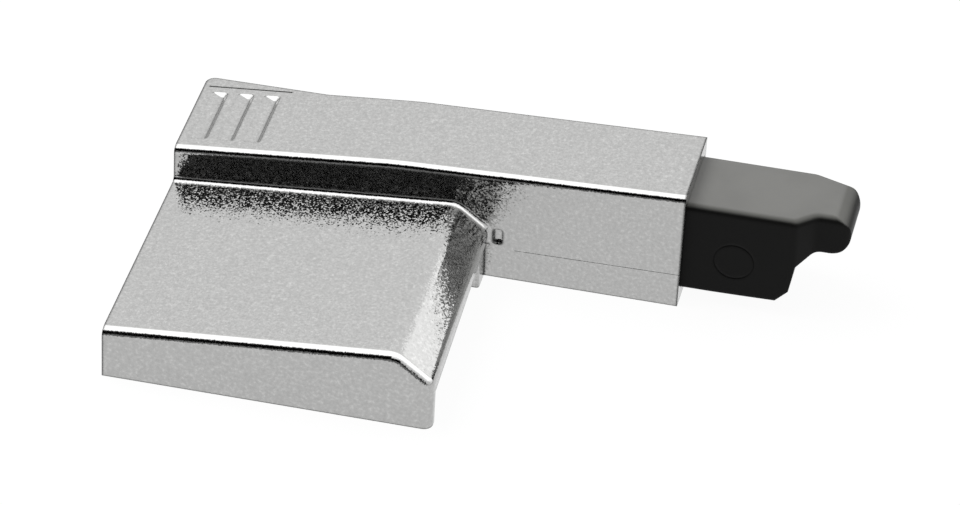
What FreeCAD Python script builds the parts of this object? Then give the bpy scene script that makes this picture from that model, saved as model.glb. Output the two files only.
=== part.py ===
"""Clip-on soft close damper for the arm of a concealed cabinet hinge.

A cast housing has a barrel and, beside it, a saddle that sits over the hinge arm.  A moulded
slider with an oil damper inside runs in the barrel and is pushed in by the closing door.
Sizes are in millimetres.  They are laid out from the lower front corner of the barrel's closed
end: x runs along the barrel to the nose, y from the front face to the rear, z up from the base.
The finished pieces are then centred over the base.
"""
import FreeCAD, Part
import math
import os

Vector = FreeCAD.Vector

# Barrel of the housing
barrel_length = 49.0
barrel_width = 10.0
closed_end_widening = 0.4
height_at_mouth = 12.6
height_at_bend = 11.35
height_at_closed_end = 9.15
bend_from_closed_end = 21.5
bend_round = 40.0
end_lean_deg = 1.3
closed_end_wall = 2.8
mouth_front_wall = 1.0
barrel_edge_round = 0.7

# Finger wedge and grip grooves at the closed end
wedge_length = 12.5
wedge_reach = 1.5
wedge_corner_round = 0.8
wedge_crease_length = 8.2
wedge_crease_width = 0.14
wedge_crease_depth = 0.08
groove_count = 3
groove_first = 1.3
groove_pitch = 2.58
groove_width = 1.6
groove_depth = 0.22
groove_side_ramp = 1.0
groove_draft = 0.28
groove_corner_round = 0.35
groove_front_margin = 1.75
groove_rear_margin = 0.95
groove_end_ramp = 0.5

# Parting line of the casting on the barrel's front face
parting_height = 3.65
parting_fall = 0.24
parting_from_saddle = 2.2
parting_line_width = 0.08
parting_line_depth = 0.03

# Gate mark of the casting beside the saddle's end
gate_mark_width = 0.9
gate_mark_height = 1.7
gate_mark_depth = 0.4
gate_mark_gap = 0.1
gate_mark_rise = 3.9

# Saddle over the hinge arm
saddle_reach = 23.7
saddle_length = 31.1
saddle_wall = 1.3
saddle_height_at_closed_end = 5.35
saddle_height_at_break = 7.9
saddle_break = 27.7
saddle_height_at_end = 5.15
saddle_break_round = 2.0
saddle_end_round = 1.1
saddle_end_skew = 0.6
saddle_edge_round = 0.85
root_round = 0.5
arm_stop_reach = 2.1
arm_stop_thickness = 0.85
arm_stop_inset = 0.45
arm_stop_end_inset = 0.1

# Slider and its hooked nose
slider_width = 8.4
slider_height = 9.6
slider_floor = 1.5
slider_clearance = 0.05
slider_hold = 8.3
slider_end_gap = 0.5
slider_top_round = 0.7
slider_foot_round = 0.25
stroke = 9.0
foot_reach = 9.0
foot_rise = 0.25
chin_reach = 10.2
chin_height = 3.0
throat_reach = 10.65
throat_height = 5.8
nose_root_reach = 12.3
nose_reach = 15.45
nose_height = 4.0
nose_tip_round = 1.9
nose_root_round = 2.0
nose_setback = 1.5
cheek_reach = 10.5
cheek_end_reach = 12.2
cheek_round = 0.9
nose_taper_reach = 11.05
nose_taper = 1.5
nose_corner_past_tip = 0.3
nose_corner_round = 1.4
nose_front_round = 1.2
nose_taper_round = 2.0
ejector_mark_diameter = 3.9
ejector_mark_width = 0.12
ejector_mark_depth = 0.08
ejector_mark_from_mouth = 4.93
ejector_mark_height = 5.45

# Snap lug under the slider and its slot in the barrel's base
lug_from_mouth = 3.8
lug_length = 1.6
lug_ramp = 0.9
lug_width = 2.4
lug_drop = 1.1
lug_clearance = 0.1

# Oil damper
damper_axis_height = 5.2
cylinder_diameter = 6.0
cylinder_wall = 0.5
cylinder_past_mouth = 1.2
cylinder_end_wall = 1.0
cylinder_start = 13.7
bore_clearance = 0.1
seat_clearance = 0.05
rod_diameter = 1.8
rod_tail_diameter = 1.2
rod_seat_depth = 1.0
rod_running_clearance = 0.05
rod_free_clearance = 0.3
guide_flange = 1.0
guide_plug = 3.5
o_ring_thickness = 0.56
o_ring_sides = 6
o_ring_groove_width = 1.1
seal_length = 1.5
seal_lip_depth = 0.8
seal_lip_wall = 0.4
washer_thickness = 0.4
foam_length = 4.4
spacer_thickness = 0.8
spacer_notch_width = 0.7
spacer_notch_depth = 0.6
spacer_notch_count = 4
stack_gap = 0.05
piston_rest_gap = 0.35
piston_length = 3.7
piston_clearance = 0.1
piston_ring_width = 1.0
piston_ring_thickness = 0.5
piston_ring_clearance = 0.05
piston_ring_gap = 0.5
overflow_groove_width = 0.5
overflow_groove_depth = 0.45
overflow_groove_count = 3
valve_disc_diameter = 3.5
valve_disc_thickness = 0.3
clip_thickness = 0.4
clip_diameter = 2.2
clip_groove_depth = 0.2
clip_opening = 0.7
rod_tail_end = 0.35

# Return spring
spring_wire = 0.35
spring_diameter = 4.55
spring_turns = 8.0
spring_steps_per_turn = 10
spring_wire_sides = 5

# Leaf that grips the hinge arm
leaf_thickness = 0.4
leaf_width = 6.0
leaf_tail = 3.0
leaf_flat = 4.0
leaf_ramp = 4.0
leaf_crown = 3.0
leaf_return = 3.0
leaf_bow = 1.1
leaf_lift = 0.7
leaf_bend_round = 1.0
leaf_stud_from_closed_end = 9.0
leaf_stud_diameter = 2.0
leaf_stud_head_diameter = 3.2
leaf_stud_head = 0.5
leaf_hole_clearance = 0.05

# Amount by which a cutting solid runs past the face that it cuts
overrun = 1.0

# Distance within which an edge or a face counts as lying on a plane
nearness = 0.05

# Sizes that follow from the driving ones
lean = math.tan(math.radians(end_lean_deg))
top_slope = (height_at_bend - height_at_closed_end) / (bend_from_closed_end - lean * height_at_closed_end)
saddle_slope = (saddle_height_at_break - saddle_height_at_closed_end) / (
    saddle_break - lean * saddle_height_at_closed_end)
saddle_angle = math.atan(saddle_slope)
slider_front = mouth_front_wall
axis_y = slider_front + slider_width / 2
saddle_end_at_barrel = saddle_length - saddle_end_skew
parting_start = saddle_length + parting_from_saddle
slider_top = slider_floor + slider_height
slider_rear = barrel_length - slider_hold
nose_tip = barrel_length + nose_reach
lug_stop = barrel_length - lug_from_mouth
cylinder_end = barrel_length + cylinder_past_mouth
cylinder_radius = cylinder_diameter / 2
cylinder_bore = cylinder_radius - cylinder_wall
rod_radius = rod_diameter / 2
rod_tail_radius = rod_tail_diameter / 2
inner_fit = cylinder_bore - seat_clearance
guide_end = cylinder_start + guide_flange + guide_plug
seal_start = guide_end + stack_gap
washer_start = seal_start + seal_length + stack_gap
foam_start = washer_start + washer_thickness + stack_gap
spacer_start = foam_start + foam_length + stack_gap
piston_start = spacer_start + spacer_thickness + piston_rest_gap
piston_end = piston_start + piston_length
valve_start = piston_end + stack_gap
clip_start = valve_start + valve_disc_thickness + stack_gap
rod_end = clip_start + clip_thickness + rod_tail_end
cylinder_floor = cylinder_end - cylinder_end_wall
o_ring_seat = cylinder_bore - o_ring_thickness - stack_gap
mouth_start = slider_rear - stroke - slider_end_gap
widest_reach = barrel_width + closed_end_widening + wedge_reach


def top_of_barrel(x):
    """Height of the sloping top between the closed end and the bend."""
    return height_at_closed_end + top_slope * (x - lean * height_at_closed_end)


def top_of_saddle(x):
    """Height of the sloping saddle top between the closed end and the break."""
    return saddle_height_at_closed_end + saddle_slope * (x - lean * saddle_height_at_closed_end)


def rear_of_barrel(x):
    """Rear face, which widens a little towards the closed end."""
    return barrel_width + closed_end_widening * (1 - x / barrel_length)


def on_side(u, v):
    """Point of a side outline: u along the barrel, v up."""
    return Vector(u, 0, v)


def on_plan(u, v):
    """Point of a plan outline: u along the barrel, v to the rear."""
    return Vector(u, v, 0)


def on_section(u, v):
    """Point of a cross section: u to the rear, v up."""
    return Vector(0, u, v)


def outline(corners, place):
    """Closed wire through the corners (u, v, radius), each rounded by a tangent arc of its radius."""
    points = [place(corner[0], corner[1]) for corner in corners]
    stops = []
    for i, corner in enumerate(corners):
        here = points[i]
        back = (points[i - 1] - here).normalize()
        ahead = (points[(i + 1) % len(points)] - here).normalize()
        radius = corner[2] if len(corner) > 2 else 0
        if radius == 0:
            stops.append((here, None, here))
            continue
        half = back.getAngle(ahead) / 2
        reach = radius / math.tan(half)
        middle = here + (back + ahead).normalize() * (radius / math.sin(half) - radius)
        stops.append((here + back * reach, middle, here + ahead * reach))
    edges = []
    for i, (start, middle, end) in enumerate(stops):
        if middle is not None:
            edges.append(Part.Arc(start, middle, end).toShape())
        following = stops[(i + 1) % len(stops)][0]
        if end.distanceToPoint(following) > Part.Precision.confusion():
            edges.append(Part.LineSegment(end, following).toShape())
    return Part.Wire(edges)


def prism(corners, place, start, end):
    """Solid of a rounded outline carried square to its plane from start to end."""
    direction = place(0, 1).cross(place(1, 0)).normalize()
    direction = Vector(abs(direction.x), abs(direction.y), abs(direction.z))
    face = Part.Face(outline(corners, place))
    face.translate(direction * start)
    return face.extrude(direction * (end - start))


def turned(corners):
    """Solid of revolution about the damper's axis; corners are (x, radius)."""
    points = [Vector(x, axis_y, damper_axis_height + radius) for x, radius in corners]
    face = Part.Face(Part.makePolygon(points + points[:1]))
    return face.revolve(Vector(0, axis_y, damper_axis_height), Vector(1, 0, 0), 360)


def ring(start, end, outer, inner):
    """Plain turned ring."""
    return turned([(start, inner), (start, outer), (end, outer), (end, inner)])


def round_bar(start, end, radius):
    """Plain bar on the damper's axis."""
    return Part.makeCylinder(radius, end - start, Vector(start, axis_y, damper_axis_height), Vector(1, 0, 0))


def passages(count, width, inner, outer, start, end):
    """Square oil passages along the damper's axis, spaced evenly round it from one radius to another."""
    tools = []
    for i in range(count):
        tool = Part.makeBox(
            end - start, width, outer - inner, Vector(start, axis_y - width / 2, damper_axis_height + inner))
        tool.rotate(Vector(0, axis_y, damper_axis_height), Vector(1, 0, 0), 360 * i / count)
        tools.append(tool)
    return tools


def edges_where(shape, wanted):
    """Edges whose middle point and box meet a condition."""
    return [edge for edge in shape.Edges if wanted(edge.CenterOfMass, edge.BoundBox)]


def barrel_block():
    """Outer form of the barrel: its side outline met with its plan, so the wedge shares the top."""
    side = [
        (-overrun, 0),
        (barrel_length, 0),
        (barrel_length + lean * height_at_mouth, height_at_mouth),
        (bend_from_closed_end, height_at_bend, bend_round),
        (-overrun, top_of_barrel(-overrun)),
    ]
    wedge_root = rear_of_barrel(wedge_length)
    wedge_slope = (widest_reach - wedge_root) / wedge_length
    plan = [
        (-overrun, 0),
        (barrel_length + overrun, 0),
        (barrel_length + overrun, barrel_width),
        (wedge_length, wedge_root),
        (-overrun, widest_reach + wedge_slope * overrun),
    ]
    block = prism(side, on_side, 0, widest_reach + overrun)
    block = block.common(prism(plan, on_plan, 0, height_at_mouth + overrun))
    front = edges_where(block, lambda m, b: b.YMax < nearness and m.z > height_at_closed_end
                        and b.XLength > b.ZLength)
    return block.makeFillet(barrel_edge_round, front)


def saddle_block():
    """Outer form of the saddle, rooted in the barrel's front wall; its end falls back towards the barrel."""
    end_top = saddle_length + lean * saddle_height_at_end
    fall = (saddle_height_at_break - saddle_height_at_end) / (end_top - saddle_break)
    far = end_top + overrun
    side = [
        (-overrun, 0),
        (far, 0),
        (far, saddle_height_at_end - fall * overrun),
        (saddle_break, saddle_height_at_break, saddle_break_round),
        (-overrun, top_of_saddle(-overrun)),
    ]
    block = prism(side, on_side, -saddle_reach, slider_front / 2)
    end = [
        (-lean * overrun, -overrun),
        (far, -overrun),
        (far, saddle_height_at_break),
        (lean * saddle_height_at_break, saddle_height_at_break),
    ]
    end_tool = prism(end, on_side, -overrun, saddle_reach + barrel_width)
    end_tool.rotate(Vector(0, 0, 0), Vector(0, 0, 1), math.degrees(math.atan(saddle_end_skew / saddle_reach)))
    end_tool.translate(Vector(saddle_length, -saddle_reach, 0))
    block = block.cut(end_tool)
    top_end = edges_where(block, lambda m, b: b.YLength > saddle_reach and m.x > saddle_break
                          and m.z > saddle_height_at_end - saddle_end_round)
    block = block.makeFillet(saddle_end_round, top_end)
    front = edges_where(block, lambda m, b: b.YMax < nearness - saddle_reach and m.z > nearness and m.x > 0)
    return block.makeFillet(saddle_edge_round, front)


def arm_channel():
    """Space under the saddle for the hinge arm, one wall below the saddle's outside."""
    end_top = saddle_length + lean * saddle_height_at_end
    fall = (saddle_height_at_break - saddle_height_at_end) / (end_top - saddle_break)
    seat_drop = saddle_wall / math.cos(saddle_angle)
    end_drop = saddle_wall / math.cos(math.atan(fall))
    inner_break = saddle_break - (end_drop - seat_drop) / (saddle_slope + fall)
    inner_height = top_of_saddle(inner_break) - seat_drop
    far = end_top + overrun
    corners = [
        (-overrun, -overrun),
        (far, -overrun),
        (far, inner_height - fall * (far - inner_break)),
        (inner_break, inner_height, saddle_break_round / 2),
        (-overrun, top_of_saddle(-overrun) - seat_drop),
    ]
    return prism(corners, on_side, -saddle_reach + saddle_wall, 0)


def arm_stops():
    """Two short webs on the barrel's front face that keep the arm square in the channel."""
    webs = []
    for start in (arm_stop_inset, saddle_end_at_barrel - arm_stop_end_inset - arm_stop_thickness):
        end = start + arm_stop_thickness
        seat = min(top_of_saddle(start), saddle_height_at_end) - saddle_wall / 2
        plan = [
            (start, -arm_stop_reach, arm_stop_thickness / 3),
            (end, -arm_stop_reach, arm_stop_thickness / 3),
            (end, slider_front / 2),
            (start, slider_front / 2),
        ]
        webs.append(prism(plan, on_plan, 0, seat))
    return webs


def grip_grooves():
    """Finger grooves along the sloping top, drawn flat and then laid on the slope.

    Each floor starts in a gentle ramp, ends in short slopes at the nose side and the front, and
    runs out in a ramp at the rear.
    """
    tools = []
    front = groove_front_margin
    rear = rear_of_barrel(0) - groove_rear_margin
    side = [
        (0, 0),
        (groove_side_ramp, -groove_depth),
        (groove_width - groove_draft, -groove_depth),
        (groove_width, 0),
        (groove_width, overrun),
        (0, overrun),
    ]
    section = [
        (front, 0),
        (front + groove_draft, -groove_depth),
        (rear - groove_end_ramp, -groove_depth),
        (rear, 0),
        (rear, overrun),
        (front, overrun),
    ]
    plan = [
        (0, front, groove_corner_round),
        (groove_width, front, groove_corner_round),
        (groove_width, rear, groove_corner_round),
        (0, rear, groove_corner_round),
    ]
    for i in range(groove_count):
        start = groove_first + i * groove_pitch
        tool = prism(side, on_side, 0, barrel_width)
        tool = tool.common(prism(section, on_section, 0, groove_width))
        tool = tool.common(prism(plan, on_plan, -groove_depth, overrun))
        tool.rotate(Vector(0, 0, 0), Vector(0, 1, 0), -math.degrees(math.atan(top_slope)))
        tool.translate(Vector(start, 0, top_of_barrel(start)))
        tools.append(tool)
    return tools


def surface_marks():
    """Fine marks of the casting: the crease along the wedge, the parting line and the gate mark."""
    crease_end = wedge_corner_round + wedge_crease_length
    crease = [
        (wedge_corner_round, rear_of_barrel(wedge_corner_round)),
        (crease_end, rear_of_barrel(crease_end)),
        (crease_end, rear_of_barrel(crease_end) - wedge_crease_width),
        (wedge_corner_round, rear_of_barrel(wedge_corner_round) - wedge_crease_width),
    ]
    skin = [
        (0, top_of_barrel(0) - wedge_crease_depth),
        (crease_end, top_of_barrel(crease_end) - wedge_crease_depth),
        (crease_end, height_at_mouth),
        (0, height_at_mouth),
    ]
    crease_tool = prism(crease, on_plan, 0, height_at_mouth)
    crease_tool = crease_tool.common(prism(skin, on_side, 0, widest_reach))
    past_mouth = barrel_length + overrun
    parting = [
        (parting_start, parting_height - parting_fall),
        (past_mouth, parting_height),
        (past_mouth, parting_height + parting_line_width),
        (parting_start, parting_height - parting_fall + parting_line_width),
    ]
    gate_start = saddle_end_at_barrel + lean * gate_mark_rise + root_round + gate_mark_gap
    gate_end = gate_start + gate_mark_width
    gate = [
        (gate_start, gate_mark_rise, gate_mark_width / 3),
        (gate_end, gate_mark_rise, gate_mark_width / 3),
        (gate_end, gate_mark_rise + gate_mark_height, gate_mark_width / 3),
        (gate_start, gate_mark_rise + gate_mark_height, gate_mark_width / 3),
    ]
    return [
        crease_tool,
        prism(parting, on_side, -overrun, parting_line_depth),
        prism(gate, on_side, -overrun, gate_mark_depth),
    ]


def slider_section(growth, top_round):
    """Cross section of the slider, or of its guideway with a growth on every side."""
    left = slider_front - growth
    right = slider_front + slider_width + growth
    low = slider_floor - growth
    high = slider_top + growth
    return [
        (left, low, slider_foot_round + growth),
        (right, low, slider_foot_round + growth),
        (right, high, top_round),
        (left, high, top_round),
    ]


def barrel_cavity():
    """Guideway of the slider, bore of the cylinder, seat of the rod and slot of the lug."""
    past_mouth = barrel_length + lean * height_at_mouth + overrun
    way = slider_section(slider_clearance, slider_top_round + slider_clearance)
    guideway = prism(way, on_section, mouth_start, past_mouth)
    bore = round_bar(closed_end_wall, mouth_start + overrun, cylinder_radius + bore_clearance)
    rod_seat = round_bar(closed_end_wall - rod_seat_depth, closed_end_wall + overrun, rod_radius + seat_clearance)
    slot_start = lug_stop - lug_length - lug_ramp - stroke - lug_clearance
    slot = Part.makeBox(
        lug_stop - slot_start, lug_width + 2 * lug_clearance, slider_floor + overrun,
        Vector(slot_start, axis_y - lug_width / 2 - lug_clearance, -overrun))
    return [guideway, bore, rod_seat, slot]


def place_on_seat(shape):
    """Puts a piece drawn flat (x along the slope, z up, seat at zero) under the tilted saddle."""
    drop = saddle_wall / math.cos(saddle_angle)
    seat = Vector(leaf_stud_from_closed_end, 0, top_of_saddle(leaf_stud_from_closed_end) - drop)
    middle = (arm_stop_reach + saddle_reach - saddle_wall) / 2
    shape.rotate(Vector(0, 0, 0), Vector(0, 1, 0), -math.degrees(saddle_angle))
    shape.translate(seat + Vector(0, -middle, 0))
    return shape


def leaf_stud():
    """Cast stud, peened over, that holds the leaf under the saddle."""
    shank = Part.makeCylinder(
        leaf_stud_diameter / 2, saddle_wall / 2 + leaf_thickness, Vector(0, 0, -leaf_thickness))
    head = Part.makeCone(
        leaf_stud_diameter / 2, leaf_stud_head_diameter / 2, leaf_stud_head,
        Vector(0, 0, -leaf_thickness - leaf_stud_head))
    return place_on_seat(shank.fuse(head))


def latch_spring():
    """Leaf with a bowed tongue that presses on the hinge arm."""
    start = leaf_flat
    crown = start + leaf_ramp
    crown_end = crown + leaf_crown
    tip = crown_end + leaf_return
    path = [
        (-leaf_tail, 0),
        (start, 0, leaf_bend_round),
        (crown, -leaf_bow, leaf_bend_round),
        (crown_end, -leaf_bow, leaf_bend_round),
        (tip, -leaf_bow + leaf_lift),
    ]
    upper = [(u, v, radius[0]) if radius else (u, v) for u, v, *radius in path]
    lower = [(u, v - leaf_thickness, radius[0]) if radius else (u, v - leaf_thickness)
             for u, v, *radius in reversed(path)]
    strip = prism(upper + lower, on_side, -leaf_width / 2, leaf_width / 2)
    hole = Part.makeCylinder(
        leaf_stud_diameter / 2 + leaf_hole_clearance, leaf_thickness + 2 * overrun,
        Vector(0, 0, -leaf_thickness - overrun))
    return place_on_seat(strip.cut(hole))


def closed_end_trim():
    """Waste beyond the leaning closed end, which the barrel and the saddle share."""
    corners = [
        (-lean * overrun, -overrun),
        (lean * height_at_mouth, height_at_mouth),
        (-2 * overrun, height_at_mouth),
        (-2 * overrun, -overrun),
    ]
    return prism(corners, on_side, -saddle_reach - overrun, widest_reach + overrun)


def housing():
    """Barrel and saddle, cast in one piece."""
    body = barrel_block().fuse(saddle_block()).removeSplitter()
    root = edges_where(body, lambda m, b: max(-b.YMin, b.YMax) < nearness
                       and saddle_height_at_closed_end < m.z < saddle_height_at_break
                       and b.XLength > saddle_break / 2)
    body = body.makeFillet(root_round, root)
    body = body.cut(closed_end_trim())
    tail = edges_where(body, lambda m, b: b.ZLength > height_at_closed_end - overrun
                       and m.x < wedge_length / 2 and m.y > barrel_width)
    body = body.makeFillet(wedge_corner_round, tail)
    body = body.cut(arm_channel())
    body = body.fuse(arm_stops() + [leaf_stud()])
    body = body.cut(barrel_cavity() + grip_grooves() + surface_marks())
    return body.removeSplitter()


def slider():
    """Moulded plunger: cross section, side outline and plan met in one form."""
    nose_floor = slider_top - nose_height
    side = [
        (slider_rear, slider_floor - overrun),
        (barrel_length, slider_floor - overrun),
        (barrel_length, slider_floor),
        (barrel_length + foot_reach, slider_floor + foot_rise),
        (barrel_length + chin_reach, chin_height),
        (barrel_length + throat_reach, throat_height),
        (barrel_length + nose_root_reach, nose_floor, nose_root_round),
        (nose_tip, nose_floor, nose_tip_round),
        (nose_tip, slider_top, nose_tip_round),
        (slider_rear, slider_top),
    ]
    rear = slider_front + slider_width
    plan_end = nose_tip + nose_corner_past_tip
    plan = [
        (slider_rear, slider_front),
        (barrel_length + cheek_reach, slider_front, cheek_round),
        (barrel_length + cheek_end_reach, slider_front + nose_setback, cheek_round),
        (plan_end, slider_front + nose_setback, nose_front_round),
        (plan_end, rear - nose_taper, nose_corner_round),
        (barrel_length + nose_taper_reach, rear, nose_taper_round),
        (slider_rear, rear),
    ]
    body = prism(plan, on_plan, 0, slider_top)
    top = edges_where(body, lambda m, b: b.ZMin > slider_top - slider_top_round and m.x < barrel_length + stroke
                      and b.XLength > stroke)
    body = body.makeFillet(slider_top_round, top)
    body = body.common(prism(slider_section(0, 0), on_section, slider_rear, plan_end))
    body = body.common(prism(side, on_side, 0, barrel_width))
    lug = [
        (lug_stop - lug_length - lug_ramp, slider_floor),
        (lug_stop - lug_length, slider_floor - lug_drop),
        (lug_stop, slider_floor - lug_drop),
        (lug_stop, slider_floor + slider_foot_round),
        (lug_stop - lug_length - lug_ramp, slider_floor + slider_foot_round),
    ]
    body = body.fuse(prism(lug, on_side, axis_y - lug_width / 2, axis_y + lug_width / 2))
    socket = round_bar(slider_rear - overrun, cylinder_end, cylinder_radius + seat_clearance)
    mark_centre = Vector(
        barrel_length + ejector_mark_from_mouth, slider_front + ejector_mark_depth, ejector_mark_height)
    mark_radius = ejector_mark_diameter / 2
    mark = Part.makeCylinder(mark_radius, overrun, mark_centre, Vector(0, -1, 0))
    mark = mark.cut(Part.makeCylinder(mark_radius - ejector_mark_width, overrun, mark_centre, Vector(0, -1, 0)))
    return body.cut([socket, mark]).removeSplitter()


def damper_cylinder():
    """Tube closed at the nose end, seated in the slider."""
    tube_start = cylinder_start + guide_flange
    return turned([
        (tube_start, cylinder_bore),
        (tube_start, cylinder_radius),
        (cylinder_end, cylinder_radius),
        (cylinder_end, 0),
        (cylinder_floor, 0),
        (cylinder_floor, cylinder_bore),
    ])


def rod_guide():
    """Bush with a flange, a groove for the o-ring and the running bore of the rod."""
    bore = rod_radius + rod_running_clearance
    shoulder = cylinder_start + guide_flange
    groove = shoulder + (guide_plug - o_ring_groove_width) / 2
    return turned([
        (cylinder_start, bore),
        (cylinder_start, cylinder_radius),
        (shoulder, cylinder_radius),
        (shoulder, inner_fit),
        (groove, inner_fit),
        (groove, o_ring_seat),
        (groove + o_ring_groove_width, o_ring_seat),
        (groove + o_ring_groove_width, inner_fit),
        (guide_end, inner_fit),
        (guide_end, bore),
    ])


def guide_o_ring():
    """Ring that seals the guide in the cylinder."""
    middle = cylinder_start + guide_flange + guide_plug / 2
    corner = o_ring_thickness / 2 / math.cos(math.pi / o_ring_sides)
    section = []
    for i in range(o_ring_sides):
        angle = 2 * math.pi * (i + 0.5) / o_ring_sides
        section.append((
            middle + corner * math.sin(angle),
            (cylinder_bore + o_ring_seat) / 2 + corner * math.cos(angle)))
    return turned(section)


def rod_seal():
    """Lip seal with its groove towards the oil."""
    inner = rod_radius + rod_running_clearance
    end = seal_start + seal_length
    return turned([
        (seal_start, inner),
        (seal_start, inner_fit),
        (end, inner_fit),
        (end, inner_fit - seal_lip_wall),
        (end - seal_lip_depth, (inner + inner_fit) / 2),
        (end, inner + seal_lip_wall),
        (end, inner),
    ])


def seal_washer():
    """Washer that backs the lip seal."""
    return ring(washer_start, washer_start + washer_thickness, inner_fit, rod_radius + rod_free_clearance)


def compensator_foam():
    """Foam sleeve that gives way to the entering rod."""
    return ring(foam_start, foam_start + foam_length, inner_fit, rod_radius + rod_free_clearance)


def foam_spacer():
    """Disc between foam and piston, notched for the oil round its rim."""
    end = spacer_start + spacer_thickness
    disc = ring(spacer_start, end, inner_fit, rod_radius + rod_free_clearance)
    return disc.cut(passages(
        spacer_notch_count, spacer_notch_width, inner_fit - spacer_notch_depth, inner_fit + overrun,
        spacer_start - overrun, end + overrun))


def piston_rod():
    """Rod that stands in the barrel's closed end, with a thinner tail for the piston."""
    foot = closed_end_wall - rod_seat_depth
    groove = rod_tail_radius - clip_groove_depth
    return turned([
        (foot, 0),
        (foot, rod_radius),
        (piston_start, rod_radius),
        (piston_start, rod_tail_radius),
        (clip_start, rod_tail_radius),
        (clip_start, groove),
        (clip_start + clip_thickness, groove),
        (clip_start + clip_thickness, rod_tail_radius),
        (rod_end, rod_tail_radius),
        (rod_end, 0),
    ])


def piston():
    """Piston with a ring groove and overflow grooves along its bore, seated on the rod's shoulder."""
    outer = cylinder_bore - piston_clearance
    bore = rod_tail_radius + seat_clearance
    groove_start = piston_start + (piston_length - piston_ring_width) / 2 - seat_clearance
    groove_end = groove_start + piston_ring_width + 2 * seat_clearance
    groove_floor = cylinder_bore - piston_ring_clearance - piston_ring_thickness - seat_clearance
    body = turned([
        (piston_start, bore),
        (piston_start, outer),
        (groove_start, outer),
        (groove_start, groove_floor),
        (groove_end, groove_floor),
        (groove_end, outer),
        (piston_end, outer),
        (piston_end, bore),
    ])
    return body.cut(passages(
        overflow_groove_count, overflow_groove_width, 0, bore + overflow_groove_depth,
        piston_start - overrun, piston_end + overrun))


def piston_ring():
    """Split ring in the piston's groove."""
    start = piston_start + (piston_length - piston_ring_width) / 2
    outer = cylinder_bore - piston_ring_clearance
    body = ring(start, start + piston_ring_width, outer, outer - piston_ring_thickness)
    slit = Part.makeBox(
        piston_ring_width + 2 * overrun, piston_ring_gap, cylinder_radius,
        Vector(start - overrun, axis_y - piston_ring_gap / 2, damper_axis_height))
    return body.cut(slit)


def valve_disc():
    """Floating disc that closes the overflow grooves on the closing stroke."""
    return ring(
        valve_start, valve_start + valve_disc_thickness, valve_disc_diameter / 2, rod_tail_radius + seat_clearance)


def rod_clip():
    """Open retaining ring in the rod's end groove."""
    inner = rod_tail_radius - clip_groove_depth + seat_clearance / 2
    edge = stack_gap / 2
    body = ring(clip_start + edge, clip_start + clip_thickness - edge, clip_diameter / 2, inner)
    mouth = Part.makeBox(
        clip_thickness + 2 * overrun, clip_opening, clip_diameter,
        Vector(clip_start - overrun, axis_y - clip_opening / 2, damper_axis_height))
    return body.cut(mouth)


def return_spring():
    """Coil between the piston and the closed end of the cylinder."""
    start = piston_end + stack_gap + spring_wire / 2
    end = cylinder_floor - stack_gap - spring_wire / 2
    radius = (spring_diameter - spring_wire) / 2
    steps = round(spring_turns * spring_steps_per_turn)
    sections = []
    for i in range(steps + 1):
        middle = start + (end - start) * i / steps
        turn = 2 * math.pi * i / spring_steps_per_turn
        rim = []
        for k in range(spring_wire_sides + 1):
            angle = 2 * math.pi * k / spring_wire_sides
            reach = radius + spring_wire / 2 * math.cos(angle)
            rim.append(Vector(
                middle + spring_wire / 2 * math.sin(angle),
                axis_y + reach * math.cos(turn),
                damper_axis_height + reach * math.sin(turn)))
        sections.append(Part.makePolygon(rim))
    return Part.makeLoft(sections, True, True)


PIECES = [
    housing, latch_spring, piston_rod, piston, piston_ring, valve_disc, rod_clip,
    slider, damper_cylinder, rod_guide, guide_o_ring, rod_seal, seal_washer,
    compensator_foam, foam_spacer, return_spring,
]

os.makedirs("parts", exist_ok=True)
solids = [make() for make in PIECES]
box = Part.makeCompound(solids).optimalBoundingBox(False, False)
for make, solid in zip(PIECES, solids):
    solid.translate(Vector(-box.Center.x, -box.Center.y, -box.ZMin))
    solid.exportStep("parts/" + make.__name__ + ".step")
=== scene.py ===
"""Looks of the soft close damper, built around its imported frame.

The cast housing is nickel plated, with fine crystal facets, the slider is a black moulding, and
the oil damper inside has steel, aluminium, acetal, rubber and foam pieces.  Lengths named here are
in millimetres and turn into metres through MM.  A bump is a strength and a depth.
"""
import math

import bpy
import numpy as np
from mathutils import Matrix, Vector


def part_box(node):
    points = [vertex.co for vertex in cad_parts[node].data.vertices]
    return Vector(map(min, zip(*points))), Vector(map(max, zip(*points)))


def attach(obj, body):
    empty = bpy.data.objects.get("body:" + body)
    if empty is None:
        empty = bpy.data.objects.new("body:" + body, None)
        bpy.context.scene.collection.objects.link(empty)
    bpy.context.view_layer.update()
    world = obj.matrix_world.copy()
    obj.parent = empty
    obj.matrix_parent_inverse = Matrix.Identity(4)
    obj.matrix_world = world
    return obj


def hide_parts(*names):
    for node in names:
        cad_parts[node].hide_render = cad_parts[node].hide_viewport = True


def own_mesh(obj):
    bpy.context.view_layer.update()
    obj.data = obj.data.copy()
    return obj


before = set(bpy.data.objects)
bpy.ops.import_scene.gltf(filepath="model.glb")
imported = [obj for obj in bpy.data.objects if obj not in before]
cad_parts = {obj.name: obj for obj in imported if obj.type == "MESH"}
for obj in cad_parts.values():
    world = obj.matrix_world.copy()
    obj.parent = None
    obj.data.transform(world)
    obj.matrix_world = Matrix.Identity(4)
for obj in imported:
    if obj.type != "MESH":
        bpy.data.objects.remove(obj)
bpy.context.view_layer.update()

MM = 0.001
WHITE = (1, 1, 1, 1)

# Camera at the photograph's angle
CAMERA_TARGET = (-3.375, 11.111, -1.457)
CAMERA_AZIMUTH = 12.4
CAMERA_ELEVATION = 37.42
CAMERA_ROLL = 1.57
CAMERA_DISTANCE = 492.6
SENSOR_WIDTH = 36.0
FOCAL_PIXELS = 5171.0
IMAGE_WIDTH = 960
CLIP_START_SHARE = 0.01
CLIP_END_FLOORS = 3.0

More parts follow.
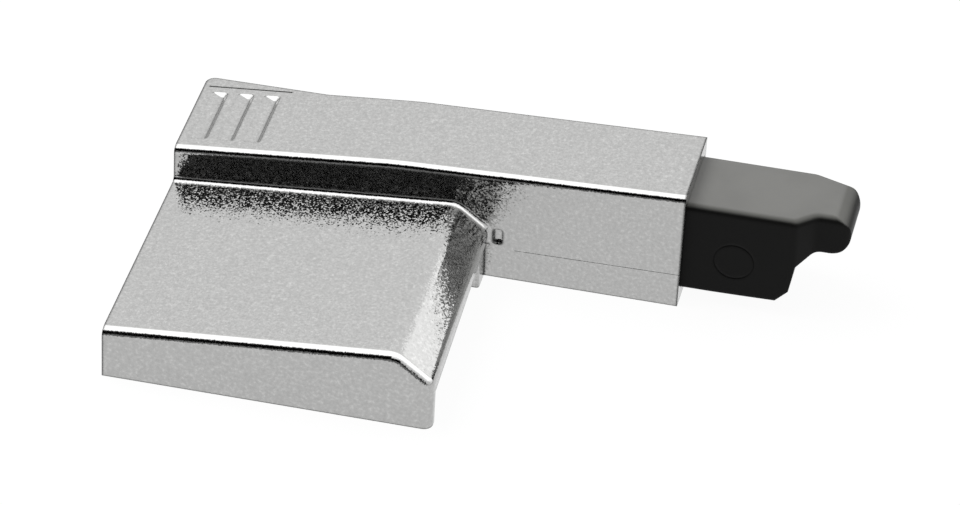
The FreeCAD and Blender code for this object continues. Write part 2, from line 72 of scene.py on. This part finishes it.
# Floor
FLOOR_HALF = 8000.0
FLOOR_COLOUR = (0.9, 0.9, 0.9, 1)
FLOOR_GLOW_SHARE = 0.95
FLOOR_NEAR_TONE = 0.86
FLOOR_FAR_TONE = 0.08
FLOOR_WHITE_REACH = 55.0
FLOOR_DARK_REACH = 85.0

# Lamp
CEILING_LAMP_SIZE = 260.0
CEILING_LAMP_PLACE = (-210.0, 40.0, 365.0)
CEILING_LAMP_POWER = 1.2

# Room: the arc runs from 0 behind over 0.5 above to 1 in front, and 0 to 1 is left to right
ROOM_TONES = (
    (0.00, 0.60), (0.02, 0.45), (0.05, 0.84), (0.21, 1.00), (0.30, 1.12), (0.67, 1.15),
    (0.715, 0.00), (0.93, 0.00), (0.97, 0.25), (1.00, 0.30),
)
SIDE_TONES = (
    (0.00, 0.80), (0.32, 1.00), (0.46, 1.00), (0.56, 1.25), (0.68, 1.68), (0.80, 1.68),
    (1.00, 1.20),
)
SIDE_FADE_ARC = (0.16, 0.23)
FRONT_ARC = (0.67, 0.72)
FRONT_LOW_ARC = (0.775, 0.795)
FRONT_TONES_HIGH = ((0.20, 0.90), (0.28, 0.00), (0.47, 0.00), (0.51, 0.90))
FRONT_TONES_LOW = ((0.20, 0.90), (0.28, 0.00), (0.77, 0.00), (0.80, 0.90))

# Grain and rings that several finishes share
SPECKLE_SHARE = 0.4
RING_DRIFTS_PER_METRE = 400.0

# Edges of the nickel's painted shade: cosine between the true and the softened normal, and the
# shift between them along X
EDGE_SAMPLES = 6
EDGE_COSINES = (0.95, 0.84)
EDGE_SHIFTS_ALONG = (0.10, 0.32)

# Painted highlight on the nickel's front rims: how far the surface faces the front, and how far it
# rises
HIGHLIGHT_FORWARD = (-0.10, -0.20)
HIGHLIGHT_RISE = (0.55, 0.70)

# Nickel facets: leans and nods by the face's rise, which is 1 on a level face
FACETS_PER_METRE = 7500.0
FACET_LEANS = ((0.00, 0.15), (0.70, 0.07), (0.88, 0.07), (0.97, 0.11))
FACET_NODS = ((0.80, 0.00), (0.97, 0.36))
FACET_MIDDLE = (0.5, 0.5, 0.5)
NOD_POWER = 3.0
NOD_WAY = (0, -1, 0)

# Nickel plating
NICKEL_GRAINS_PER_METRE = 7500.0
NICKEL_PATCHES_PER_METRE = 160.0
NICKEL_TONES = (
    (0.30, (0.46, 0.46, 0.455, 1)), (0.56, (0.52, 0.52, 0.515, 1)),
    (0.72, (0.61, 0.61, 0.603, 1)),
)
# Painted highlight: the colour the rounded front rims are brightened to
NICKEL_PAINTED_HIGHLIGHT_COLOUR = (0.95, 0.95, 0.945, 1)
# Painted shade: the dark colour laid along sharp edges
NICKEL_PAINTED_SHADE_COLOUR = (0.05, 0.05, 0.049, 1)
NICKEL_EDGE_RADIUS = 0.36
NICKEL_ROUGHNESS = (0.09, 0.13)

# Black plastic: a painted sheen lightens it by the rise of its softened surface, and more over the
# nose; a coat goes on by the rise too
PLASTIC_GRAINS_PER_METRE = 4200.0
PLASTIC_PATCHES_PER_METRE = 220.0
PLASTIC_EDGE_RADIUS = 0.4
PLASTIC_SKIN_COLOUR = (0.004, 0.004, 0.0038, 1)
PLASTIC_PAINTED_SHEEN_COLOUR = (0.118, 0.118, 0.111, 1)
PLASTIC_SHEEN_RISE = (0.55, 1.0)
PLASTIC_COAT_RISE = (0.93, 1.0)
PLASTIC_SHEEN_MOTTLE = (0.75, 1.15)
PLASTIC_ROUGHNESS = (0.34, 0.46)
PLASTIC_SPECULAR = 0.10
PLASTIC_COAT_ROUGHNESS = 0.35
PLASTIC_BUMP = (0.12, 0.015)
NOSE_SHEEN_SHARE = 0.18

# Turned steel and drawn aluminium
STEEL_TONES = ((0.3, (0.50, 0.50, 0.50, 1)), (0.7, (0.66, 0.66, 0.66, 1)))
STEEL_ROUGHNESS = (0.14, 0.28)
STEEL_RINGS_PER_METRE = 5000.0
ALUMINIUM_TONES = ((0.3, (0.62, 0.62, 0.63, 1)), (0.7, (0.76, 0.76, 0.77, 1)))
ALUMINIUM_ROUGHNESS = (0.24, 0.38)
ALUMINIUM_RINGS_PER_METRE = 2500.0
METAL_RING_WANDER = 0.4
METAL_RING_BUMP = (0.15, 0.01)

# Spring steel
SPRING_GRAINS_PER_METRE = 3000.0
SPRING_PATCHES_PER_METRE = 300.0
SPRING_TONES = ((0.35, (0.42, 0.40, 0.37, 1)), (0.65, (0.60, 0.58, 0.54, 1)))
SPRING_ROUGHNESS = (0.22, 0.38)
SPRING_BUMP = (0.12, 0.008)

# Acetal
ACETAL_RINGS_PER_METRE = 2500.0
ACETAL_RING_WANDER = 0.6
ACETAL_TONES = ((0.3, (0.70, 0.69, 0.66, 1)), (0.7, (0.80, 0.79, 0.76, 1)))
ACETAL_ROUGHNESS = (0.30, 0.42)
ACETAL_LIGHT_INSIDE = 0.15
ACETAL_LIGHT_REACH = (0.6, 0.5, 0.4)
ACETAL_BUMP = (0.08, 0.01)

# Rubber
RUBBER_GRAINS_PER_METRE = 3500.0
RUBBER_PATCHES_PER_METRE = 500.0
RUBBER_TONES = ((0.35, (0.010, 0.010, 0.011, 1)), (0.7, (0.028, 0.028, 0.030, 1)))
RUBBER_ROUGHNESS = (0.55, 0.72)
RUBBER_BUMP = (0.10, 0.015)

# Foam
FOAM_CELLS_PER_METRE = 3200.0
FOAM_PATCHES_PER_METRE = 400.0
FOAM_TONES = ((0.1, (0.20, 0.20, 0.21, 1)), (0.6, (0.08, 0.08, 0.085, 1)))
FOAM_ROUGHNESS = (0.80, 0.95)
FOAM_BUMP = (0.6, 0.12)

# Return spring
SPRING_WIRE = 0.35
SPRING_TURNS = 8.0
SPRING_CLOSED_TURNS = 1.0
SPRING_STEPS_PER_TURN = 40
SPRING_WIRE_STEPS = 12


def add(tree, kind, sockets=None, **settings):
    """Adds a node; a socket is given a value or linked to another node's output."""
    made = tree.nodes.new(kind)
    for name, value in settings.items():
        setattr(made, name, value)
    for name, value in (sockets or {}).items():
        if isinstance(value, bpy.types.NodeSocket):
            tree.links.new(value, made.inputs[name])
        else:
            made.inputs[name].default_value = value
    return made


def work_out(tree, operation, *values):
    """Arithmetic on up to three values."""
    return add(tree, "ShaderNodeMath", dict(enumerate(values)), operation=operation).outputs[0]


def join(tree, operation, first, second):
    """Sum, difference, product or larger of two vectors."""
    made = add(tree, "ShaderNodeVectorMath", {0: first, 1: second}, operation=operation)
    return made.outputs["Vector"]


def scaled(tree, vector, factor):
    """Vector times a factor."""
    made = add(tree, "ShaderNodeVectorMath", {0: vector, "Scale": factor}, operation="SCALE")
    return made.outputs["Vector"]


def split(tree, vector):
    """X, Y and Z of a vector."""
    return add(tree, "ShaderNodeSeparateXYZ", {"Vector": vector}).outputs


def ramp(tree, factor, stops):
    """Colour ramp over a factor; each stop is (place, grey) or (place, colour)."""
    made = add(tree, "ShaderNodeValToRGB", {"Fac": factor})
    elements = made.color_ramp.elements
    while len(elements) < len(stops):
        elements.new(1.0)
    for element, (place, tone) in zip(elements, stops):
        element.position = place
        element.color = tone if isinstance(tone, tuple) else (tone, tone, tone, 1)
    return made.outputs["Color"]


def share_of(tree, value, start, end, easing="LINEAR"):
    """Value from start to end taken to the range from 0 to 1, and held beyond it."""
    made = add(
        tree, "ShaderNodeMapRange", {"Value": value, "From Min": start, "From Max": end},
        interpolation_type=easing)
    return made.outputs["Result"]


def spread(tree, value, low, high):
    """Value from 0 to 1 taken to the range from low to high."""
    made = add(tree, "ShaderNodeMapRange", {"Value": value, "To Min": low, "To Max": high})
    return made.outputs["Result"]


def blend(tree, factor, first, second):
    """Mixes two colours by a factor."""
    made = add(tree, "ShaderNodeMix", {"Factor": factor}, data_type="RGBA")
    for socket, colour in zip((made.inputs[6], made.inputs[7]), (first, second)):
        if isinstance(colour, bpy.types.NodeSocket):
            tree.links.new(colour, socket)
        else:
            socket.default_value = colour
    return made.outputs[2]


def new_group(name, inputs, outputs):
    """Shader node group of plain numbers; gives the tree, its input node and its output node."""
    tree = bpy.data.node_groups.new(name, "ShaderNodeTree")
    for label, value in inputs:
        socket = tree.interface.new_socket(label, in_out="INPUT", socket_type="NodeSocketFloat")
        socket.default_value = value
    for label in outputs:
        tree.interface.new_socket(label, in_out="OUTPUT", socket_type="NodeSocketFloat")
    return tree, tree.nodes.new("NodeGroupInput"), tree.nodes.new("NodeGroupOutput")


def object_place(tree):
    """Object coordinates, which are metres in the part's own frame."""
    return add(tree, "ShaderNodeTexCoord").outputs["Object"]


def true_normal(tree):
    """Surface normal as the mesh gives it."""
    return add(tree, "ShaderNodeNewGeometry").outputs["Normal"]


def grain_group():
    """Even grain: fine noise for height, a coarser one for speckle, and slow noise for patches."""
    tree, given, result = new_group(
        "Even grain", [("Grains per metre", 5000.0), ("Patches per metre", 120.0)],
        ["Height", "Speckle", "Patch"])
    place = object_place(tree)
    grains = given.outputs["Grains per metre"]
    speckles = work_out(tree, "MULTIPLY", grains, SPECKLE_SHARE)
    patches = given.outputs["Patches per metre"]
    layers = (
        ("Height", grains, 2.0, 0.6), ("Speckle", speckles, 2.0, 0.6),
        ("Patch", patches, 3.0, 0.55))
    for label, per_metre, detail, roughness in layers:
        noise = add(tree, "ShaderNodeTexNoise", {
            "Vector": place, "Scale": per_metre, "Detail": detail, "Roughness": roughness})
        tree.links.new(noise.outputs["Fac"], result.inputs[label])
    return tree


def turning_group():
    """Fine rings round the damper's axis, which runs along X, from turning, drawing or moulding."""
    tree, given, result = new_group(
        "Rings along the axis", [("Rings per metre", 6000.0), ("Wander", 0.15)],
        ["Height", "Tone"])
    place = object_place(tree)
    slow = add(tree, "ShaderNodeTexNoise", {
        "Vector": place, "Scale": RING_DRIFTS_PER_METRE, "Detail": 1.0})
    drift = work_out(tree, "MULTIPLY", slow.outputs["Fac"], given.outputs["Wander"])
    along = split(tree, place)["X"]
    count = work_out(tree, "MULTIPLY_ADD", along, given.outputs["Rings per metre"], drift)
    rings = add(
        tree, "ShaderNodeTexNoise", {"W": count, "Scale": 1.0, "Detail": 2.0},
        noise_dimensions="1D")
    tree.links.new(rings.outputs["Fac"], result.inputs["Height"])
    tree.links.new(slow.outputs["Fac"], result.inputs["Tone"])
    return tree


GRAIN = grain_group()
RINGS = turning_group()


def new_material(name):
    """Material with its Principled shader and the tree that feeds it."""
    material = bpy.data.materials.new(name)
    material.use_nodes = True
    tree = material.node_tree
    return material, tree, tree.nodes["Principled BSDF"]


def use(tree, group, **values):
    """Places a node group in a material with its own values; underscores stand for spaces."""
    made = add(tree, "ShaderNodeGroup", node_tree=group)
    for name, value in values.items():
        made.inputs[name.replace("_", " ")].default_value = value
    return made.outputs


def feed(tree, shader, tone, roughness):
    """Links a colour and a roughness to the shader."""
    tree.links.new(tone, shader.inputs["Base Color"])
    tree.links.new(roughness, shader.inputs["Roughness"])


def soft_edge(tree, radius_mm):
    """Surface normal that turns gently over sharp edges."""
    made = add(tree, "ShaderNodeBevel", {"Radius": radius_mm * MM}, samples=EDGE_SAMPLES)
    return made.outputs["Normal"]


def edge_mask(tree, radius_mm):
    """Mask that is 1 on a sharp edge and falls to 0 within the radius.

    It goes by the cosine between the true and the softened normal, or by how far the softened one
    leaves the true one along X, whichever gives more, so an edge round an end counts sooner.
    """
    flat = true_normal(tree)
    soft = soft_edge(tree, radius_mm)
    turn = add(tree, "ShaderNodeVectorMath", {0: flat, 1: soft}, operation="DOT_PRODUCT")
    sharp = share_of(tree, turn.outputs["Value"], *EDGE_COSINES, "SMOOTHSTEP")
    change = split(tree, join(tree, "SUBTRACT", flat, soft))["X"]
    along = work_out(tree, "ABSOLUTE", change)
    ends = share_of(tree, along, *EDGE_SHIFTS_ALONG, "SMOOTHSTEP")
    return work_out(tree, "MAXIMUM", sharp, ends)


def painted_highlight_rim(tree):
    """Mask of the painted highlight: 1 on the rounded front rims, where a level face turns to the
    front.
    """
    facing = split(tree, true_normal(tree))
    forward = share_of(tree, facing["Y"], *HIGHLIGHT_FORWARD)
    rise = share_of(tree, facing["Z"], *HIGHLIGHT_RISE)
    return work_out(tree, "MULTIPLY", forward, rise)


def facets(tree, shader):
    """Crystal facets for the shader's normal: every small cell leans its own way.

    The lean follows the face's rise.  Some cells of a level face also nod to the front, by the
    cube of a random draw, so few of them nod far.
    """
    cells = add(tree, "ShaderNodeTexVoronoi", {
        "Vector": object_place(tree), "Scale": FACETS_PER_METRE}).outputs["Color"]
    smooth = true_normal(tree)
    rise = split(tree, smooth)["Z"]
    way = join(tree, "SUBTRACT", cells, FACET_MIDDLE)
    tilt = scaled(tree, way, ramp(tree, rise, FACET_LEANS))
    draw = work_out(tree, "POWER", split(tree, cells)["Z"], NOD_POWER)
    nod = scaled(tree, NOD_WAY, work_out(tree, "MULTIPLY", draw, ramp(tree, rise, FACET_NODS)))
    leaning = join(tree, "ADD", smooth, join(tree, "ADD", tilt, nod))
    unit = add(tree, "ShaderNodeVectorMath", {0: leaning}, operation="NORMALIZE")
    tree.links.new(unit.outputs["Vector"], shader.inputs["Normal"])


def bump(tree, shader, height, strength, depth_mm, normal=None):
    """Feeds a height to the shader's normal, over another normal where one is given."""
    made = add(tree, "ShaderNodeBump", {
        "Height": height, "Strength": strength, "Distance": depth_mm * MM})
    if normal is not None:
        tree.links.new(normal, made.inputs["Normal"])
    tree.links.new(made.outputs["Normal"], shader.inputs["Normal"])


def nickel_plating():
    """Nickel over a cast skin: neutral grey with fine facets, a painted highlight on the front rims
    and painted shade on sharp edges.
    """
    material, tree, shader = new_material("nickel_plating")
    grain = use(
        tree, GRAIN, Grains_per_metre=NICKEL_GRAINS_PER_METRE,
        Patches_per_metre=NICKEL_PATCHES_PER_METRE)
    tone = ramp(tree, grain["Speckle"], NICKEL_TONES)
    # Painted highlight: the front rims are brightened towards white
    tone = blend(tree, painted_highlight_rim(tree), tone, NICKEL_PAINTED_HIGHLIGHT_COLOUR)
    # Painted shade: sharp edges are darkened to near black
    tone = blend(tree, edge_mask(tree, NICKEL_EDGE_RADIUS), tone, NICKEL_PAINTED_SHADE_COLOUR)
    feed(tree, shader, tone, spread(tree, grain["Patch"], *NICKEL_ROUGHNESS))
    shader.inputs["Metallic"].default_value = 1.0
    facets(tree, shader)
    return material


def black_plastic():
    """Black moulding: a satin skin, with a painted sheen that lightens upward faces and the nose,
    mottled in patches.
    """
    material, tree, shader = new_material("black_plastic")
    grain = use(
        tree, GRAIN, Grains_per_metre=PLASTIC_GRAINS_PER_METRE,
        Patches_per_metre=PLASTIC_PATCHES_PER_METRE)
    normal = soft_edge(tree, PLASTIC_EDGE_RADIUS)
    facing = split(tree, normal)
    # Painted sheen: upward faces and the nose are lightened to grey, mottled in patches
    ahead = work_out(tree, "MAXIMUM", facing["X"], 0.0)
    lit = work_out(tree, "MULTIPLY_ADD", ahead, NOSE_SHEEN_SHARE, facing["Z"])
    upward = share_of(tree, lit, *PLASTIC_SHEEN_RISE, "SMOOTHSTEP")
    level = share_of(tree, facing["Z"], *PLASTIC_COAT_RISE, "SMOOTHSTEP")
    painted_sheen = work_out(tree, "MULTIPLY", upward, spread(tree, grain["Patch"], *PLASTIC_SHEEN_MOTTLE))
    tone = blend(tree, painted_sheen, PLASTIC_SKIN_COLOUR, PLASTIC_PAINTED_SHEEN_COLOUR)
    feed(tree, shader, tone, spread(tree, grain["Patch"], *PLASTIC_ROUGHNESS))
    shader.inputs["Specular IOR Level"].default_value = PLASTIC_SPECULAR
    tree.links.new(level, shader.inputs["Coat Weight"])
    shader.inputs["Coat Roughness"].default_value = PLASTIC_COAT_ROUGHNESS
    bump(tree, shader, grain["Height"], *PLASTIC_BUMP, normal)
    return material


def ringed_metal(name, tones, roughness, rings_per_metre):
    """Turned or drawn metal with rings round the damper's axis."""
    material, tree, shader = new_material(name)
    rings = use(tree, RINGS, Rings_per_metre=rings_per_metre, Wander=METAL_RING_WANDER)
    tone = ramp(tree, rings["Height"], tones)
    feed(tree, shader, tone, spread(tree, rings["Tone"], *roughness))
    shader.inputs["Metallic"].default_value = 1.0
    bump(tree, shader, rings["Height"], *METAL_RING_BUMP)
    return material


def spring_steel():
    """Bright rolled or drawn spring steel with a faint straw tint in soft patches."""
    material, tree, shader = new_material("spring_steel")
    grain = use(
        tree, GRAIN, Grains_per_metre=SPRING_GRAINS_PER_METRE,
        Patches_per_metre=SPRING_PATCHES_PER_METRE)
    tone = ramp(tree, grain["Patch"], SPRING_TONES)
    feed(tree, shader, tone, spread(tree, grain["Speckle"], *SPRING_ROUGHNESS))
    shader.inputs["Metallic"].default_value = 1.0
    bump(tree, shader, grain["Height"], *SPRING_BUMP)
    return material


def white_acetal():
    """Milky acetal with faint moulding rings and a little light inside."""
    material, tree, shader = new_material("white_acetal")
    rings = use(tree, RINGS, Rings_per_metre=ACETAL_RINGS_PER_METRE, Wander=ACETAL_RING_WANDER)
    tone = ramp(tree, rings["Tone"], ACETAL_TONES)
    feed(tree, shader, tone, spread(tree, rings["Tone"], *ACETAL_ROUGHNESS))
    shader.inputs["Subsurface Weight"].default_value = ACETAL_LIGHT_INSIDE
    shader.inputs["Subsurface Radius"].default_value = Vector(ACETAL_LIGHT_REACH) * MM
    bump(tree, shader, rings["Height"], *ACETAL_BUMP)
    return material


def seal_rubber():
    """Black nitrile with a dull bloom."""
    material, tree, shader = new_material("seal_rubber")
    grain = use(
        tree, GRAIN, Grains_per_metre=RUBBER_GRAINS_PER_METRE,
        Patches_per_metre=RUBBER_PATCHES_PER_METRE)
    tone = ramp(tree, grain["Patch"], RUBBER_TONES)
    feed(tree, shader, tone, spread(tree, grain["Patch"], *RUBBER_ROUGHNESS))
    bump(tree, shader, grain["Height"], *RUBBER_BUMP)
    return material


def cell_foam():
    """Grey closed cell foam: rounded cells with darker walls between them."""
    material, tree, shader = new_material("foam")
    cells = add(tree, "ShaderNodeTexVoronoi", {
        "Vector": object_place(tree), "Scale": FOAM_CELLS_PER_METRE}).outputs["Distance"]
    grain = use(tree, GRAIN, Patches_per_metre=FOAM_PATCHES_PER_METRE)
    tone = ramp(tree, cells, FOAM_TONES)
    feed(tree, shader, tone, spread(tree, grain["Patch"], *FOAM_ROUGHNESS))
    bump(tree, shader, cells, *FOAM_BUMP)
    return material


def coil_mesh(low, high):
    """Coil in a box: a round wire carried along a helix.

    With t from 0 to 1 along the wire and a round the wire, the coil's line is
    (x(t), R cos(2 pi n t), R sin(2 pi n t)), where x(t) rises by one wire per turn on the closed
    end turns and evenly between them.  The wire's skin adds r (cos a) outwards and r (sin a)
    along X.
    """
    wire = SPRING_WIRE * MM / 2
    centre = (low + high) / 2
    radius = (high.z - low.z) / 2 - wire
    steps = int(SPRING_TURNS * SPRING_STEPS_PER_TURN)
    turn = np.linspace(0.0, SPRING_TURNS, steps + 1)
    inner = 2 * wire * SPRING_CLOSED_TURNS
    line = np.interp(
        turn, [0.0, SPRING_CLOSED_TURNS, SPRING_TURNS - SPRING_CLOSED_TURNS, SPRING_TURNS],
        [low.x + wire, low.x + wire + inner, high.x - wire - inner, high.x - wire])
    swing = 2 * np.pi * turn[:, None]
    around = np.arange(SPRING_WIRE_STEPS)
    angle = 2 * np.pi * around[None, :] / SPRING_WIRE_STEPS
    reach = radius + wire * np.cos(angle)
    points = np.stack([
        line[:, None] + wire * np.sin(angle),
        centre.y + reach * np.cos(swing),
        centre.z + reach * np.sin(swing)], axis=-1).reshape(-1, 3)
    row = np.arange(steps)[:, None] * SPRING_WIRE_STEPS
    next_row = row + SPRING_WIRE_STEPS
    here = around[None, :]
    ahead = (here + 1) % SPRING_WIRE_STEPS
    quads = np.stack([row + here, row + ahead, next_row + ahead, next_row + here], axis=-1)
    last = around + steps * SPRING_WIRE_STEPS
    faces = [*quads.reshape(-1, 4).tolist(), around[::-1].tolist(), last.tolist()]
    mesh = bpy.data.meshes.new("return_coil")
    mesh.from_pydata(points.tolist(), [], faces)
    mesh.polygons.foreach_set("use_smooth", np.ones(len(faces), dtype=bool))
    mesh.update()
    return mesh


def return_coil(material):
    """Round wire coil that stands for the faceted CAD spring and rides with the plunger."""
    low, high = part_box("return_spring")
    piece = bpy.data.objects.new("return_coil", coil_mesh(low, high))
    bpy.context.scene.collection.objects.link(piece)
    piece.data.materials.append(material)
    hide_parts("return_spring")
    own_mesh(piece)
    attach(piece, "plunger")


def dress_nodes():
    """Gives every CAD node the material of its finish."""
    nickel = nickel_plating()
    plastic = black_plastic()
    spring = spring_steel()
    steel = ringed_metal("bright_steel", STEEL_TONES, STEEL_ROUGHNESS, STEEL_RINGS_PER_METRE)
    aluminium = ringed_metal(
        "drawn_aluminium", ALUMINIUM_TONES, ALUMINIUM_ROUGHNESS, ALUMINIUM_RINGS_PER_METRE)
    acetal = white_acetal()
    rubber = seal_rubber()
    foam = cell_foam()
    finish = {
        "housing": nickel, "slider": plastic, "latch_spring": spring, "rod_clip": spring,
        "return_spring": spring, "piston_rod": steel, "seal_washer": steel, "valve_disc": steel,
        "damper_cylinder": aluminium, "rod_guide": acetal, "piston": acetal,
        "piston_ring": acetal, "foam_spacer": acetal, "guide_o_ring": rubber, "rod_seal": rubber,
        "compensator_foam": foam,
    }
    for name, material in finish.items():
        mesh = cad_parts[name].data
        mesh.materials.clear()
        mesh.materials.append(material)
    return_coil(spring)


def floor():
    """Large pale floor that keeps a soft shadow and is clear from below.

    It shows white to the camera.  In the metal it is nearly white under the part and fades to
    dark round it.
    """
    half = FLOOR_HALF * MM
    corners = [(-half, -half, 0), (half, -half, 0), (half, half, 0), (-half, half, 0)]
    mesh = bpy.data.meshes.new("floor")
    mesh.from_pydata(corners, [], [(0, 1, 2, 3)])
    piece = bpy.data.objects.new("floor", mesh)
    bpy.context.scene.collection.objects.link(piece)
    material = bpy.data.materials.new("studio_floor")
    material.use_nodes = True
    tree = material.node_tree
    tree.nodes.clear()
    path = add(tree, "ShaderNodeLightPath").outputs
    seen = work_out(tree, "MAXIMUM", path["Is Camera Ray"], path["Is Glossy Ray"])
    seen = work_out(tree, "MAXIMUM", seen, path["Is Transmission Ray"])
    glow_share = work_out(tree, "MULTIPLY", seen, FLOOR_GLOW_SHARE)
    reach = add(tree, "ShaderNodeVectorMath", {0: object_place(tree)}, operation="LENGTH")
    away = share_of(
        tree, reach.outputs["Value"], FLOOR_WHITE_REACH * MM, FLOOR_DARK_REACH * MM, "SMOOTHSTEP")
    mirrored = spread(tree, away, FLOOR_NEAR_TONE, FLOOR_FAR_TONE)
    strength = work_out(tree, "MAXIMUM", mirrored, path["Is Camera Ray"])
    glow = add(tree, "ShaderNodeEmission", {"Color": WHITE, "Strength": strength})
    paint = add(tree, "ShaderNodeBsdfDiffuse", {"Color": FLOOR_COLOUR})
    top = add(tree, "ShaderNodeMixShader", {
        0: glow_share, 1: paint.outputs[0], 2: glow.outputs[0]})
    below = add(tree, "ShaderNodeNewGeometry").outputs["Backfacing"]
    clear = add(tree, "ShaderNodeBsdfTransparent")
    both = add(tree, "ShaderNodeMixShader", {0: below, 1: top.outputs[0], 2: clear.outputs[0]})
    add(tree, "ShaderNodeOutputMaterial", {"Surface": both.outputs[0]})
    mesh.materials.append(material)


def room():
    """Soft room: light behind and overhead, brighter on the right, dark in the front's middle.

    The front's light corners and panels are laid over the dark stretch of the room's arc.
    """
    world = bpy.data.worlds.new("room")
    bpy.context.scene.world = world
    world.use_nodes = True
    tree = world.node_tree
    tree.nodes.clear()
    way = split(tree, add(tree, "ShaderNodeTexCoord").outputs["Generated"])
    angle = work_out(tree, "ARCTAN2", way["Z"], way["Y"])
    arc = work_out(tree, "DIVIDE", angle, math.pi)
    across = share_of(tree, way["X"], -1.0, 1.0)
    fade = share_of(tree, arc, *SIDE_FADE_ARC)
    side = blend(tree, fade, ramp(tree, across, SIDE_TONES), WHITE)
    tone = join(tree, "MULTIPLY", ramp(tree, arc, ROOM_TONES), side)
    low = share_of(tree, arc, *FRONT_LOW_ARC)
    panels = blend(
        tree, low, ramp(tree, across, FRONT_TONES_HIGH), ramp(tree, across, FRONT_TONES_LOW))
    front = scaled(tree, panels, share_of(tree, arc, *FRONT_ARC))
    whole = join(tree, "MAXIMUM", tone, front)
    light = add(tree, "ShaderNodeBackground", {"Color": whole, "Strength": 1.0})
    add(tree, "ShaderNodeOutputWorld", {"Surface": light.outputs[0]})


def ceiling_lamp():
    """Wide soft lamp above, to the left, turned to the part; the metal mirrors only the room."""
    data = bpy.data.lights.new("ceiling_lamp", "AREA")
    data.shape = "SQUARE"
    data.size = CEILING_LAMP_SIZE * MM
    data.energy = CEILING_LAMP_POWER
    lamp = bpy.data.objects.new("ceiling_lamp", data)
    lamp.visible_glossy = False
    lamp.location = Vector(CEILING_LAMP_PLACE) * MM
    lamp.rotation_euler = (-lamp.location).to_track_quat("-Z", "Y").to_euler()
    bpy.context.scene.collection.objects.link(lamp)


def camera():
    """Camera on a line from the target, turned by its roll."""
    azimuth = math.radians(CAMERA_AZIMUTH)
    elevation = math.radians(CAMERA_ELEVATION)
    roll = math.radians(CAMERA_ROLL)
    level_back = Vector((math.sin(azimuth), -math.cos(azimuth), 0))
    back = level_back * math.cos(elevation) + Vector((0, 0, math.sin(elevation)))
    level = Vector((math.cos(azimuth), math.sin(azimuth), 0))
    rise = back.cross(level)
    right = math.cos(roll) * level + math.sin(roll) * rise
    up = back.cross(right)
    data = bpy.data.cameras.new("camera")
    data.sensor_width = SENSOR_WIDTH
    data.lens = FOCAL_PIXELS / IMAGE_WIDTH * SENSOR_WIDTH
    data.clip_start = CAMERA_DISTANCE * CLIP_START_SHARE * MM
    data.clip_end = FLOOR_HALF * CLIP_END_FLOORS * MM
    piece = bpy.data.objects.new("camera", data)
    place = Matrix((right, up, back)).transposed().to_4x4()
    place.translation = Vector(CAMERA_TARGET) * MM + back * CAMERA_DISTANCE * MM
    piece.matrix_world = place
    bpy.context.scene.collection.objects.link(piece)
    bpy.context.scene.camera = piece


dress_nodes()
floor()
room()
ceiling_lamp()
camera()
bpy.context.scene.view_settings.view_transform = "Standard"
